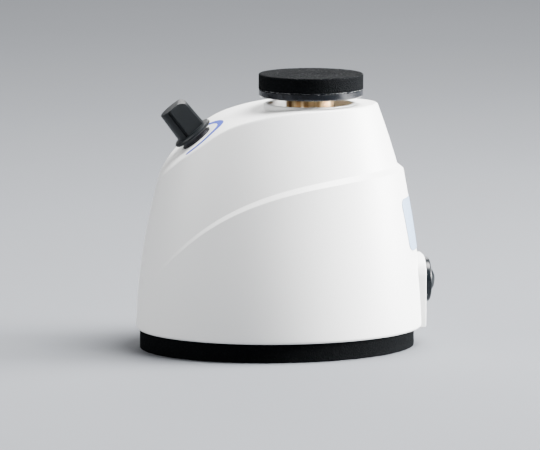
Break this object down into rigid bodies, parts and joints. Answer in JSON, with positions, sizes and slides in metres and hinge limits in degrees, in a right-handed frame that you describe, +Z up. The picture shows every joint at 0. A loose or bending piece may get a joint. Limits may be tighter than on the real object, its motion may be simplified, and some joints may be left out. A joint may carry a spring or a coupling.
{
  "type": "vortex mixer",
  "caption": "Small bench vortex mixer: leaning oval housing on a foam foot, sloped ramp with a speed knob, round foam platform on an eccentric brass hub, rear power switch.",
  "frame": {"origin": "centre of the underside of the foam foot's oval, under the middle of the housing's rim", "axes": "+Z up, -Y towards the speed knob (front), +Y towards the power switch (rear), +X to the right seen from the front's left"},
  "size_m": [0.0696, 0.0942, 0.0857],
  "materials": {
    "housing_white": "satin moulded ABS",
    "foam_black": "closed cell foam",
    "rubber_black": "matt",
    "plastic_black": "satin",
    "plate_grey": "glossy",
    "label_blue": "blank label film",
    "brass": "turned",
    "steel": "ground",
    "black_steel": "black oxide",
    "zinc_steel": "zinc plated",
    "cast_iron": "black paint",
    "bronze": "sintered",
    "magnet": "ferrite",
    "carbon": "carbon",
    "rotor_steel": "laminated",
    "copper": "enamelled wire",
    "board_green": "solder mask",
    "aluminium": "extruded",
    "capacitor_blue": "sleeve",
    "lead_red": "pvc",
    "lead_orange": "pvc",
    "lead_yellow": "pvc",
    "lead_black": "pvc"
  },
  "bodies": {
    "base": {"housing": "housing_white", "rear_label": "label_blue", "foot_pad": "foam_black", "base_plate": "zinc_steel", "base_screws": "zinc_steel", "ballast_weight": "cast_iron", "ballast_screws": "zinc_steel", "motor_can": "zinc_steel", "motor_end_bell": "plastic_black", "motor_magnets": "magnet", "motor_brushes": "carbon", "motor_front_bush": "bronze", "motor_rear_bush": "bronze", "motor_bracket": "zinc_steel", "rubber_mounts": "rubber_black", "bracket_screws": "zinc_steel", "motor_screws": "zinc_steel", "pot_body": "plastic_black", "pot_bushing": "brass", "pot_terminals": "brass", "pot_washer": "black_steel", "pot_nut": "black_steel", "switch_body": "plastic_black", "switch_terminals": "zinc_steel", "dc_inlet": "plastic_black", "inlet_pin": "zinc_steel", "inlet_nut": "zinc_steel", "control_board": "board_green", "board_standoffs": "brass", "board_screws": "zinc_steel", "board_capacitor": "capacitor_blue", "power_transistor": "plastic_black", "heat_sink": "aluminium", "motor_leads": "lead_red", "switch_leads": "lead_orange", "speed_leads": "lead_yellow", "inlet_leads": "lead_black"},
    "drive": {"motor_shaft": "steel", "rotor_core": "rotor_steel", "rotor_windings": "copper", "commutator": "copper", "eccentric_hub": "brass", "hub_set_screw": "steel", "bearing_outer_ring": "steel", "bearing_balls": "steel"},
    "platform": {"bearing_inner_ring": "steel", "platform_stud": "steel", "stud_clip": "steel", "platform_plate": "plate_grey", "platform_pad": "foam_black"},
    "knob": {"pot_shaft": "aluminium", "speed_knob": "plastic_black"},
    "rocker": {"switch_rocker": "plastic_black"}
  },
  "joints": [
    {"name": "drive_spin", "type": "hinge", "parent": "base", "child": "drive", "pos_m": [0, 0.0095, 0.04], "axis": [0, 0, 1], "continuous": true},
    {"name": "platform_spin", "type": "hinge", "parent": "drive", "child": "platform", "pos_m": [0.002, 0.0095, 0.0757], "axis": [0, 0, 1], "continuous": true},
    {"name": "knob_turn", "type": "hinge", "parent": "base", "child": "knob", "pos_m": [0, -0.026, 0.06563], "axis": [0, -0.6157, 0.788], "range_deg": [-270, 0]},
    {"name": "rocker_tilt", "type": "hinge", "parent": "base", "child": "rocker", "pos_m": [0, 0.0439, 0.0198], "axis": [1, 0, 0], "range_deg": [0, 14]}
  ]
}
